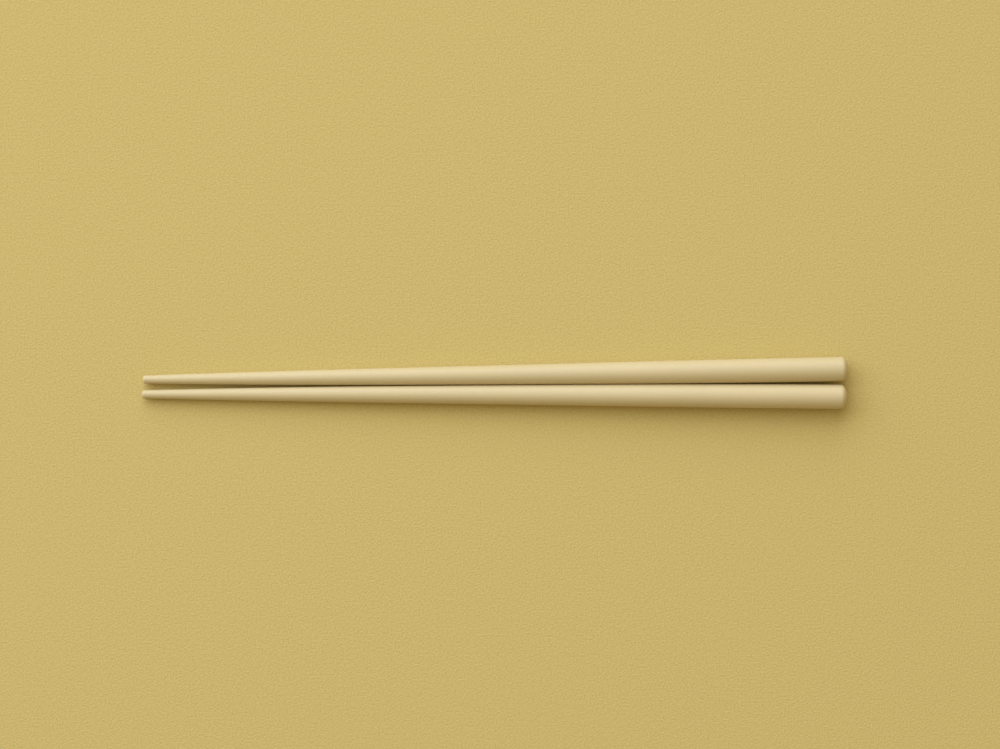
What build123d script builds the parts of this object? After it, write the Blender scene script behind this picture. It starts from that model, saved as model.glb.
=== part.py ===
from build123d import *
import os
from math import atan, degrees

# A pair of round table chopsticks, moulded in cream resin. Both sticks come from one
# mould and are solid all through. They lie side by side on a table, the tips together
# at one end and the butts at the other, and touch a little past the middle.
#
# +X runs from the tips to the butts and +Z is up. The table is at Z = 0. The sticks
# lie on either side of the XZ plane, the rear one on the +Y side.

# One stick, in millimetres. Stations are measured from its tip.
length = 225.0
tip_diameter = 2.62     # at station 0, before the tip's edge is rounded
tip_round = 0.8         # radius of the tip's edge
tip_crown = 0.1         # how far the tip's face stands out at its middle
tip_curve = 84.0        # up to this station the tip slims faster and faster
taper = 0.0218          # growth in diameter for each millimetre of the straight taper
fade_start = 145.0      # from here to the butt the taper dies away
handle_diameter = 7.75  # at the butt, where the sides are parallel
butt_round = 1.8        # radius of the butt's edge
butt_crown = 1.2        # how far the butt's face stands out at its middle
bow = 0.25              # how far the middle stands out from a straight line
stretches = 20          # straight-sided, all of one length, that make up the shaft

# How the two lie
spread = 0.53           # angle of each stick to the X axis, in degrees
side_gap = 0.03         # between the bowed sides, where they are nearest
slip = 0.34             # how much nearer the tips the front stick lies

handle_radius = handle_diameter / 2
fade_length = length - fade_start
taper_corner = length - fade_length / 2


def straight_radius(station):
    """Radius of the straight taper, carried on past both of its ends."""
    return handle_radius - taper / 2 * (taper_corner - station)


def radius_at(station):
    """Radius of the stick: a curve at the tip, a straight taper, then the fade."""
    radius = straight_radius(station)
    if station < tip_curve:
        radius -= (straight_radius(0) - tip_diameter / 2) * (1 - station / tip_curve) ** 2
    if station > fade_start:
        radius -= taper / 4 * (station - fade_start) ** 2 / fade_length
    return radius


def end_cap(joint, edge, crown, rounding):
    """The end of a stick along +X, from its joint with the shaft at X = 0.

    joint and edge are stations: the side runs from one to the other, and the crowned
    face starts at the edge, which is then rounded.
    """
    side_length = abs(edge - joint)
    edge_point = (side_length, radius_at(edge))
    face_middle = (side_length + crown, 0)
    side = Line((0, radius_at(joint)), edge_point)
    face_arc = TangentArc(face_middle, edge_point, tangent=(0, 1))
    axis_line = Line((0, 0), face_middle)
    joint_line = Line((0, 0), (0, radius_at(joint)))
    half = make_face([joint_line, side, face_arc, axis_line])
    corner = half.vertices().sort_by_distance(edge_point)[0]
    return revolve(fillet(corner, rounding), axis=Axis.X)


def make_stick():
    """A stick from its tip at the origin to its butt on +X, bowed towards -Y."""
    spine = ThreePointArc((0, 0, 0), (length / 2, -bow, 0), (length, 0, 0))
    tip_joint = tip_crown + 2 * tip_round
    butt_joint = length - butt_crown - 2 * butt_round

    def frame_at(station):
        return Plane(origin=spine @ (station / length), x_dir=(0, 0, 1), z_dir=spine % (station / length))

    # From one stretch to the next the side turns by little more than a tenth of a degree.
    step = (butt_joint - tip_joint) / stretches
    stations = [tip_joint + step * i for i in range(stretches + 1)]
    shaft = loft([frame_at(s) * Circle(radius_at(s)) for s in stations], ruled=True)

    tip = end_cap(tip_joint, tip_crown, tip_crown, tip_round)
    butt = end_cap(butt_joint, length - butt_crown, butt_crown, butt_round)
    tip_frame = frame_at(tip_joint)
    butt_frame = frame_at(butt_joint)
    tip_place = Plane(origin=tip_frame.origin, x_dir=-tip_frame.z_dir, z_dir=(0, 0, 1))
    butt_place = Plane(origin=butt_frame.origin, x_dir=butt_frame.z_dir, z_dir=(0, 0, 1))
    return shaft + tip_place * tip + butt_place * butt


def lay_down(stick, side):
    """Lay a stick on the table with its straight taper flat on it, on the side given."""
    pitch = degrees(atan(taper / 2))
    if side < 0:
        stick = mirror(stick, about=Plane.XZ)
    laid = Rot(0, 0, side * spread) * Rot(0, -pitch, 0) * stick
    box = laid.bounding_box()
    inner = box.min.Y if side > 0 else box.max.Y
    return Pos(side * slip / 2 - box.center().X, side * side_gap / 2 - inner, -box.min.Z) * laid


os.makedirs("parts", exist_ok=True)
stick = make_stick()
for node, side in (("rear_chopstick", 1), ("front_chopstick", -1)):
    laid = lay_down(stick, side)
    print(node, "volume", round(laid.volume, 1), "size", laid.bounding_box().size)
    print("  middle of mass", laid.center(CenterOf.MASS), "solids", len(laid.solids()))
    export_step(laid, f"parts/{node}.step")
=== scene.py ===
from math import atan, cos, pi, radians, sin

import bpy
from mathutils import Matrix, Vector


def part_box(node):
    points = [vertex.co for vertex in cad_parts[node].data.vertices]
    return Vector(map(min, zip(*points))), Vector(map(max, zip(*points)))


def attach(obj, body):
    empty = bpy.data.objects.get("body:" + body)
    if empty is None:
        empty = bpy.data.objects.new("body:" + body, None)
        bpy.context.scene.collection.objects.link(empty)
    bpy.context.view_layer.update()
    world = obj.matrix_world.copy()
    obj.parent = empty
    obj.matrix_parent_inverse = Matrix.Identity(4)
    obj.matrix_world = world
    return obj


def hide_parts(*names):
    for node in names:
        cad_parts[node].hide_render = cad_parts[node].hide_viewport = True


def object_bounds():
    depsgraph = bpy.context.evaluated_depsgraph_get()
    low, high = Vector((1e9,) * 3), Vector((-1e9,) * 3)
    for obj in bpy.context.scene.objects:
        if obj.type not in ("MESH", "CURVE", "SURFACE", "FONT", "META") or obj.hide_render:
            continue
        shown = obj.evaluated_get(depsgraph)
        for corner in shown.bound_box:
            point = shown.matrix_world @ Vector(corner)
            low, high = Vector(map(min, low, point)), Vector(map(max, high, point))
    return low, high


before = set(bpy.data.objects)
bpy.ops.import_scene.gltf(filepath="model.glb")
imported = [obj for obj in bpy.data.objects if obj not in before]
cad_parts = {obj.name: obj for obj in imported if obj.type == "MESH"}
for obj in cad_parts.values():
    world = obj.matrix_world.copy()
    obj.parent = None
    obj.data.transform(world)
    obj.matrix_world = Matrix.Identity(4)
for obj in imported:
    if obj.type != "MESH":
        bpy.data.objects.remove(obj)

mm = 0.001
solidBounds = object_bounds()

# A pair of round chopsticks, moulded in cream resin, lying side by side on a pale table.
# +X runs from the tips to the butts, and the sticks lie on either side of the XZ plane.


def addNode(tree, kind, settings={}, inputs={}):
    # A value of inputs is another node's output, which is linked, or a plain value.
    node = tree.nodes.new(kind)
    for name, value in settings.items():
        setattr(node, name, value)
    for key, value in inputs.items():
        if isinstance(value, bpy.types.NodeSocket):
            tree.links.new(value, node.inputs[key])
        else:
            node.inputs[key].default_value = value
    return node


def linearColour(code):
    # "#RRGGBB", as seen on a screen, to the linear values that a shader takes.
    shares = [int(code[i:i + 2], 16) / 255 for i in (1, 3, 5)]
    linear = [s / 12.92 if s <= 0.04045 else ((s + 0.055) / 1.055) ** 2.4 for s in shares]
    return (*linear, 1.0)


def newMaterial(name):
    material = bpy.data.materials.new(name)
    material.use_nodes = True
    material.node_tree.nodes.clear()
    return material


noiseLow, noiseHigh = 0.3, 0.7   # nearly all of a noise's values lie between these

creamResin = {
    "base": "#CEBB8C",
    "pale": "#CFBC8D",           # where the resin flowed a little thinner
    "deep": "#CDBA8B",
    "patch": 26 * mm,            # size of the faint patches of tone
    "roughness": 0.52,
    "roughnessSpread": 0.09,
    "ior": 1.5,
    "grit": 0.3 * mm,            # pits that the blasted mould leaves, drawn twice as coarse as they are
    "gritHeight": 0.012 * mm,
    "glow": 0.06,                # share of the light that comes back out of the resin
    "glowReach": 1.2 * mm,
    "glowTint": (1.0, 0.75, 0.4),    # red light reaches furthest
}


def makeResin(look):
    # Melamine-like resin from a blasted steel mould: an even cream, matte, with a soft sheen
    # only at a low angle, and just dense enough to let no light through.
    material = newMaterial("mouldedCreamResin")
    tree = material.node_tree
    place = addNode(tree, "ShaderNodeTexCoord").outputs["Object"]

    patches = addNode(tree, "ShaderNodeTexNoise", {}, {
        "Vector": place, "Scale": 1 / look["patch"], "Detail": 2.0, "Roughness": 0.5})
    tone = addNode(tree, "ShaderNodeValToRGB", {}, {"Fac": patches.outputs["Fac"]})
    ramp = tone.color_ramp.elements
    ramp[0].position, ramp[0].color = noiseLow, linearColour(look["deep"])
    ramp[1].position, ramp[1].color = noiseHigh, linearColour(look["pale"])
    middle = ramp.new((noiseLow + noiseHigh) / 2)
    middle.color = linearColour(look["base"])

    grit = addNode(tree, "ShaderNodeTexNoise", {}, {
        "Vector": place, "Scale": 1 / look["grit"], "Detail": 1.0, "Roughness": 0.6})
    roughness = addNode(tree, "ShaderNodeMapRange", {}, {
        "Value": grit.outputs["Fac"],
        "From Min": noiseLow, "From Max": noiseHigh,
        "To Min": look["roughness"] - look["roughnessSpread"],
        "To Max": look["roughness"] + look["roughnessSpread"]})
    pits = addNode(tree, "ShaderNodeBump", {}, {
        "Height": grit.outputs["Fac"], "Distance": look["gritHeight"], "Strength": 1.0})

    shader = addNode(tree, "ShaderNodeBsdfPrincipled", {}, {
        "Base Color": tone.outputs["Color"],
        "Roughness": roughness.outputs["Result"],
        "Normal": pits.outputs["Normal"],
        "IOR": look["ior"],
        "Subsurface Weight": look["glow"],
        "Subsurface Radius": look["glowTint"],
        "Subsurface Scale": look["glowReach"]})
    addNode(tree, "ShaderNodeOutputMaterial", {}, {"Surface": shader.outputs["BSDF"]})
    return material


stick = {                    # in millimetres, with stations measured from the tip
    "Length": 225.0,
    "Tip Radius": 1.31,
    "Tip Curve": 84.0,       # up to this station the tip slims faster and faster
    "Slope": 0.0109,         # growth in radius for each millimetre of the straight taper
    "Fade Start": 145.0,     # from here to the butt the taper dies away
    "Handle Radius": 3.875,
    "Tip Reach": 1.13,       # how far the rounding of the tip reaches along the stick
    "Tip Fullness": 3.2,     # 2 is an ellipse, and more is squarer
    "Butt Reach": 2.1,
    "Butt Fullness": 2.08,
    "Bow": 0.25,             # how far the middle stands out sideways from a straight line
    "Sides": 128,
    "Rings": 300,
}

# Each row works out one value: its name, the operation, and what goes into it.
spineSteps = [
    ("turn", "MULTIPLY", "factor", pi),
    ("swing", "COSINE", "turn"),
    ("back", "SUBTRACT", 1.0, "swing"),
    ("half length", "MULTIPLY", "Length", 0.5),
    ("along", "MULTIPLY", "back", "half length"),        # rings lie closer near both ends
    ("swing square", "MULTIPLY", "swing", "swing"),
    ("from the ends", "SUBTRACT", 1.0, "swing square"),
    ("offset", "MULTIPLY", "from the ends", "Bow"),
]
radiusSteps = [
    ("fade length", "SUBTRACT", "Length", "Fade Start"),
    ("half fade", "MULTIPLY", "fade length", 0.5),
    ("corner", "SUBTRACT", "Length", "half fade"),       # where the taper, run on, would meet the handle
    ("past corner", "SUBTRACT", "station", "corner"),
    ("taper radius", "MULTIPLY_ADD", "past corner", "Slope", "Handle Radius"),
    ("corner rise", "MULTIPLY", "corner", "Slope"),
    ("taper at tip", "SUBTRACT", "Handle Radius", "corner rise"),
    ("tip loss", "SUBTRACT", "taper at tip", "Tip Radius"),
    ("tip share", "DIVIDE", "station", "Tip Curve"),
    ("tip way", "SUBTRACT", 1.0, "tip share"),
    ("tip way left", "MAXIMUM", "tip way", 0.0),
    ("tip bend", "MULTIPLY", "tip way left", "tip way left"),
    ("tip slimming", "MULTIPLY", "tip bend", "tip loss"),
    ("fade way", "SUBTRACT", "station", "Fade Start"),
    ("fade way gone", "MAXIMUM", "fade way", 0.0),
    ("fade bend", "MULTIPLY", "fade way gone", "fade way gone"),
    ("fade slope", "DIVIDE", "Slope", "fade length"),
    ("half fade slope", "MULTIPLY", "fade slope", 0.5),
    ("fade slimming", "MULTIPLY", "fade bend", "half fade slope"),
    ("slimmed", "SUBTRACT", "taper radius", "tip slimming"),
    ("shaft radius", "SUBTRACT", "slimmed", "fade slimming"),
    ("from butt", "SUBTRACT", "Length", "station"),
]
for end, distance in (("Tip", "station"), ("Butt", "from butt")):
    radiusSteps += [         # each end is rounded as a superellipse, which is 1 past its reach
        (f"{end} share", "DIVIDE", distance, f"{end} Reach"),
        (f"{end} share kept", "MINIMUM", f"{end} share", 1.0),
        (f"{end} rest", "SUBTRACT", 1.0, f"{end} share kept"),
        (f"{end} power", "POWER", f"{end} rest", f"{end} Fullness"),
        (f"{end} cover", "SUBTRACT", 1.0, f"{end} power"),
        (f"{end} root", "DIVIDE", 1.0, f"{end} Fullness"),
        (f"{end} rounding", "POWER", f"{end} cover", f"{end} root"),
    ]
radiusSteps += [
    ("rounding", "MULTIPLY", "Tip rounding", "Butt rounding"),
    ("radius", "MULTIPLY", "shaft radius", "rounding"),
]
poleGap = 1e-4               # millimetres, to merge the points of each end ring, which has no radius


def makeStickTree(sizes):
    # A line of rings from the tip at the origin to the butt on +X, bowed towards -Y.
    tree = bpy.data.node_groups.new("turnedStick", "GeometryNodeTree")
    for name, size in sizes.items():
        kind = "NodeSocketInt" if isinstance(size, int) else "NodeSocketFloat"
        socket = tree.interface.new_socket(name, in_out="INPUT", socket_type=kind)
        socket.default_value = size
    tree.interface.new_socket("Material", in_out="INPUT", socket_type="NodeSocketMaterial")
    tree.interface.new_socket("Geometry", in_out="OUTPUT", socket_type="NodeSocketGeometry")
    given = addNode(tree, "NodeGroupInput").outputs

    values = {name: given[name] for name in sizes}
    values["factor"] = addNode(tree, "GeometryNodeSplineParameter").outputs["Factor"]
    spinePoint = addNode(tree, "GeometryNodeInputPosition").outputs["Position"]
    values["station"] = addNode(tree, "ShaderNodeSeparateXYZ", {}, {"Vector": spinePoint}).outputs["X"]
    for name, operation, *operands in spineSteps + radiusSteps:
        operands = [values.get(operand, operand) for operand in operands]
        step = addNode(tree, "ShaderNodeMath", {"operation": operation}, dict(enumerate(operands)))
        step.label = name
        values[name] = step.outputs["Value"]

    ringCount = addNode(tree, "ShaderNodeMath", {"operation": "ADD"}, {0: given["Rings"], 1: 1.0})
    axis = addNode(tree, "GeometryNodeCurvePrimitiveLine", {}, {"Start": (0, 0, 0), "End": (1, 0, 0)})
    rings = addNode(tree, "GeometryNodeResampleCurve", {}, {
        "Curve": axis.outputs["Curve"], "Count": ringCount.outputs["Value"]})
    left = addNode(tree, "ShaderNodeMath", {"operation": "MULTIPLY"}, {0: values["offset"], 1: -1.0})
    point = addNode(tree, "ShaderNodeCombineXYZ", {}, {
        "X": values["along"], "Y": left.outputs["Value"]})
    spine = addNode(tree, "GeometryNodeSetPosition", {}, {
        "Geometry": rings.outputs["Curve"], "Position": point.outputs["Vector"]})
    ring = addNode(tree, "GeometryNodeCurvePrimitiveCircle", {}, {
        "Resolution": given["Sides"], "Radius": 1.0})
    skin = addNode(tree, "GeometryNodeCurveToMesh", {}, {
        "Curve": spine.outputs["Geometry"], "Profile Curve": ring.outputs["Curve"],
        "Scale": values["radius"]})
    closed = addNode(tree, "GeometryNodeMergeByDistance", {}, {
        "Geometry": skin.outputs["Mesh"], "Distance": poleGap})
    smooth = addNode(tree, "GeometryNodeSetShadeSmooth", {}, {"Geometry": closed.outputs["Geometry"]})
    metres = addNode(tree, "GeometryNodeTransform", {}, {
        "Geometry": smooth.outputs["Geometry"], "Scale": (mm, mm, mm)})
    real = addNode(tree, "GeometryNodeRealizeInstances", {}, {"Geometry": metres.outputs["Geometry"]})
    coated = addNode(tree, "GeometryNodeSetMaterial", {}, {
        "Geometry": real.outputs["Geometry"], "Material": given["Material"]})
    addNode(tree, "NodeGroupOutput", {}, {"Geometry": coated.outputs["Geometry"]})
    return tree


def makeStick(name, tree, sizes, material):
    carrier = bpy.data.objects.new(name, bpy.data.meshes.new(name))
    bpy.context.scene.collection.objects.link(carrier)
    modifier = carrier.modifiers.new("turnedStick", "NODES")
    modifier.node_group = tree
    identifiers = {s.name: s.identifier for s in tree.interface.items_tree if s.in_out == "INPUT"}
    for key, value in {**sizes, "Material": material}.items():
        modifier[identifiers[key]] = value
    evaluated = carrier.evaluated_get(bpy.context.evaluated_depsgraph_get())
    mesh = bpy.data.meshes.new_from_object(evaluated)
    mesh.name = name
    carrier.modifiers.remove(modifier)
    carrier.data = mesh
    return carrier


laying = {
    "spread": 0.53,          # angle of each stick to the X axis, in degrees
    "rearChopstick": ("rear_chopstick", 1),      # the solid it stands for, and its side of the XZ plane
    "frontChopstick": ("front_chopstick", -1),
}


def layDown(piece, node, side):
    # The straight taper lies flat on the table, and the middle of the box is the solid's.
    mesh = piece.data
    pitch = Matrix.Rotation(-atan(stick["Slope"]), 4, "Y")
    yaw = Matrix.Rotation(side * radians(laying["spread"]), 4, "Z")
    mesh.transform(yaw @ pitch)
    low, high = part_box(node)
    points = [v.co for v in mesh.vertices]
    middle = [(min(p[i] for p in points) + max(p[i] for p in points)) / 2 for i in (0, 1)]
    bottom = min(p.z for p in points)
    place = Vector(((low.x + high.x) / 2 - middle[0], (low.y + high.y) / 2 - middle[1], low.z - bottom))
    mesh.transform(Matrix.Translation(place))
    mesh.update()


resin = makeResin(creamResin)
stickTree = makeStickTree(stick)
for name in ("rearChopstick", "frontChopstick"):
    node, side = laying[name]
    sizes = {**stick, "Bow": side * stick["Bow"]}
    piece = makeStick(name, stickTree, sizes, resin)
    layDown(piece, node, side)
    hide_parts(node)
    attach(piece, "root")
print("sticks made")

backdropColour = "#E9E0C2"   # of the room behind the table, as the camera and reflections see it


def seenDirectly(tree):
    # 1 for the camera and for reflections and refractions, 0 for what lights the object.
    rays = addNode(tree, "ShaderNodeLightPath").outputs
    seen = rays["Is Camera Ray"]
    for kind in ("Is Glossy Ray", "Is Transmission Ray"):
        either = addNode(tree, "ShaderNodeMath", {"operation": "MAXIMUM"}, {0: seen, 1: rays[kind]})
        seen = either.outputs["Value"]
    return seen


table = {
    "pale": "#D2BC76",       # on the crests of the grain, lighter than the dimples as painted shade
    "deep": "#C6B06A",       # in its dimples, darker as painted shade
    "width": 12.0,           # metres
    "fadeStart": 0.4,        # from here outwards the table fades into the backdrop, in metres
    "fadeEnd": 2.0,
    "roughness": 0.9,
    "specular": 0.2,         # card has hardly any shine
    "grain": 0.6 * mm,       # drawn three times as coarse as it is, so that it shows
    "grainHeight": 0.12 * mm,
}


def makeTable(look):
    # Heavy uncoated card: pale ochre, with no shine, and fine dimples whose colour is darkened as
    # painted shade.
    material = newMaterial("paleOchreCard")
    tree = material.node_tree
    place = addNode(tree, "ShaderNodeTexCoord").outputs["Object"]
    grain = addNode(tree, "ShaderNodeTexNoise", {}, {
        "Vector": place, "Scale": 1 / look["grain"], "Detail": 1.0})
    # Painted shade: the colour follows the dimples' depth, darker in the dimples and lighter on the
    # crests.
    tone = addNode(tree, "ShaderNodeValToRGB", {}, {"Fac": grain.outputs["Fac"]})
    ramp = tone.color_ramp.elements
    ramp[0].position, ramp[0].color = noiseLow, linearColour(look["deep"])
    ramp[1].position, ramp[1].color = noiseHigh, linearColour(look["pale"])
    dimples = addNode(tree, "ShaderNodeBump", {}, {
        "Height": grain.outputs["Fac"], "Distance": look["grainHeight"], "Strength": 1.0})
    card = addNode(tree, "ShaderNodeBsdfPrincipled", {}, {
        "Base Color": tone.outputs["Color"],
        "Roughness": look["roughness"],
        "Specular IOR Level": look["specular"],
        "Normal": dimples.outputs["Normal"]})

    away = addNode(tree, "ShaderNodeVectorMath", {"operation": "LENGTH"}, {0: place})
    fade = addNode(tree, "ShaderNodeMapRange", {"interpolation_type": "SMOOTHSTEP"}, {
        "Value": away.outputs["Value"], "From Min": look["fadeStart"], "From Max": look["fadeEnd"]})
    faded = addNode(tree, "ShaderNodeMath", {"operation": "MULTIPLY"}, {
        0: fade.outputs["Result"], 1: seenDirectly(tree)})
    backdrop = addNode(tree, "ShaderNodeEmission", {}, {
        "Color": linearColour(backdropColour), "Strength": 1.0})
    surface = addNode(tree, "ShaderNodeMixShader", {}, {
        0: faded.outputs["Value"], 1: card.outputs["BSDF"], 2: backdrop.outputs["Emission"]})
    addNode(tree, "ShaderNodeOutputMaterial", {}, {"Surface": surface.outputs["Shader"]})

    half = look["width"] / 2
    corners = [(-half, -half, 0), (half, -half, 0), (half, half, 0), (-half, half, 0)]
    mesh = bpy.data.meshes.new("table")
    mesh.from_pydata(corners, [], [(0, 1, 2, 3)])
    mesh.materials.append(material)
    board = bpy.data.objects.new("table", mesh)
    bpy.context.scene.collection.objects.link(board)
    return board


makeTable(table)
print("table made")

# A broad cool light behind the sticks, as from a window, gives about half of the light. A small
# one overhead and the warm surround of the room give the rest. Together they light the table so
# that it renders in its own colour. Distances and sizes are in metres, angles in degrees.
lamps = {
    "windowLight": {"azimuth": 121, "elevation": 33, "distance": 5.0, "size": (9.3, 4.3),
                    "strength": 1.77, "tint": "#DEEAFF"},
    "overheadLight": {"azimuth": 130, "elevation": 70, "distance": 0.9, "size": (1.0, 0.8),
                      "strength": 0.28, "tint": "#E2F0FF"},
}
surround = {"strength": 0.40, "tint": "#FFE5AB"}


def makeLamp(name, look):
    azimuth, elevation = radians(look["azimuth"]), radians(look["elevation"])
    away = Vector((cos(azimuth) * cos(elevation), sin(azimuth) * cos(elevation), sin(elevation)))
    across = Vector((0, 0, 1)).cross(away).normalized()
    light = bpy.data.lights.new(name, "AREA")
    light.shape = "RECTANGLE"
    light.size, light.size_y = look["size"]
    # A lamp of the same strength lights the table about the same from any distance.
    light.energy = look["strength"] * pi ** 2 * look["distance"] ** 2
    light.color = linearColour(look["tint"])[:3]
    lamp = bpy.data.objects.new(name, light)
    facing = Matrix((across, away.cross(across), away)).transposed().to_4x4()
    lamp.matrix_world = Matrix.Translation(away * look["distance"]) @ facing
    lamp.visible_camera = False
    bpy.context.scene.collection.objects.link(lamp)


def makeWorld(look):
    # The surround is what lights the object, and the backdrop is what is seen.
    world = bpy.data.worlds.new("studio")
    world.use_nodes = True
    tree = world.node_tree
    tree.nodes.clear()
    lighting = addNode(tree, "ShaderNodeBackground", {}, {
        "Color": linearColour(look["tint"]), "Strength": look["strength"]})
    backdrop = addNode(tree, "ShaderNodeBackground", {}, {
        "Color": linearColour(backdropColour), "Strength": 1.0})
    either = addNode(tree, "ShaderNodeMixShader", {}, {
        0: seenDirectly(tree), 1: lighting.outputs["Background"], 2: backdrop.outputs["Background"]})
    addNode(tree, "ShaderNodeOutputWorld", {}, {"Surface": either.outputs["Shader"]})
    bpy.context.scene.world = world


for name, look in lamps.items():
    makeLamp(name, look)
makeWorld(surround)
print("lights made")

view = {
    "lens": 85.0,
    "sensor": 36.0,
    "height": 0.7567,        # metres above the table, looking straight down
    "right": 1.83 * mm,      # of the middle of the pair
    "back": 3.30 * mm,
    "roll": -0.335,          # degrees
}
low, high = solidBounds
middle = [(low[i] + high[i]) / 2 for i in (0, 1)]
camera = bpy.data.objects.new("camera", bpy.data.cameras.new("camera"))
camera.data.lens = view["lens"]
camera.data.sensor_width = view["sensor"]
camera.location = (middle[0] + view["right"], middle[1] + view["back"], view["height"])
camera.rotation_euler = (0, 0, radians(view["roll"]))
bpy.context.scene.collection.objects.link(camera)
bpy.context.scene.camera = camera
bpy.context.scene.view_settings.view_transform = "Standard"
print("camera set")
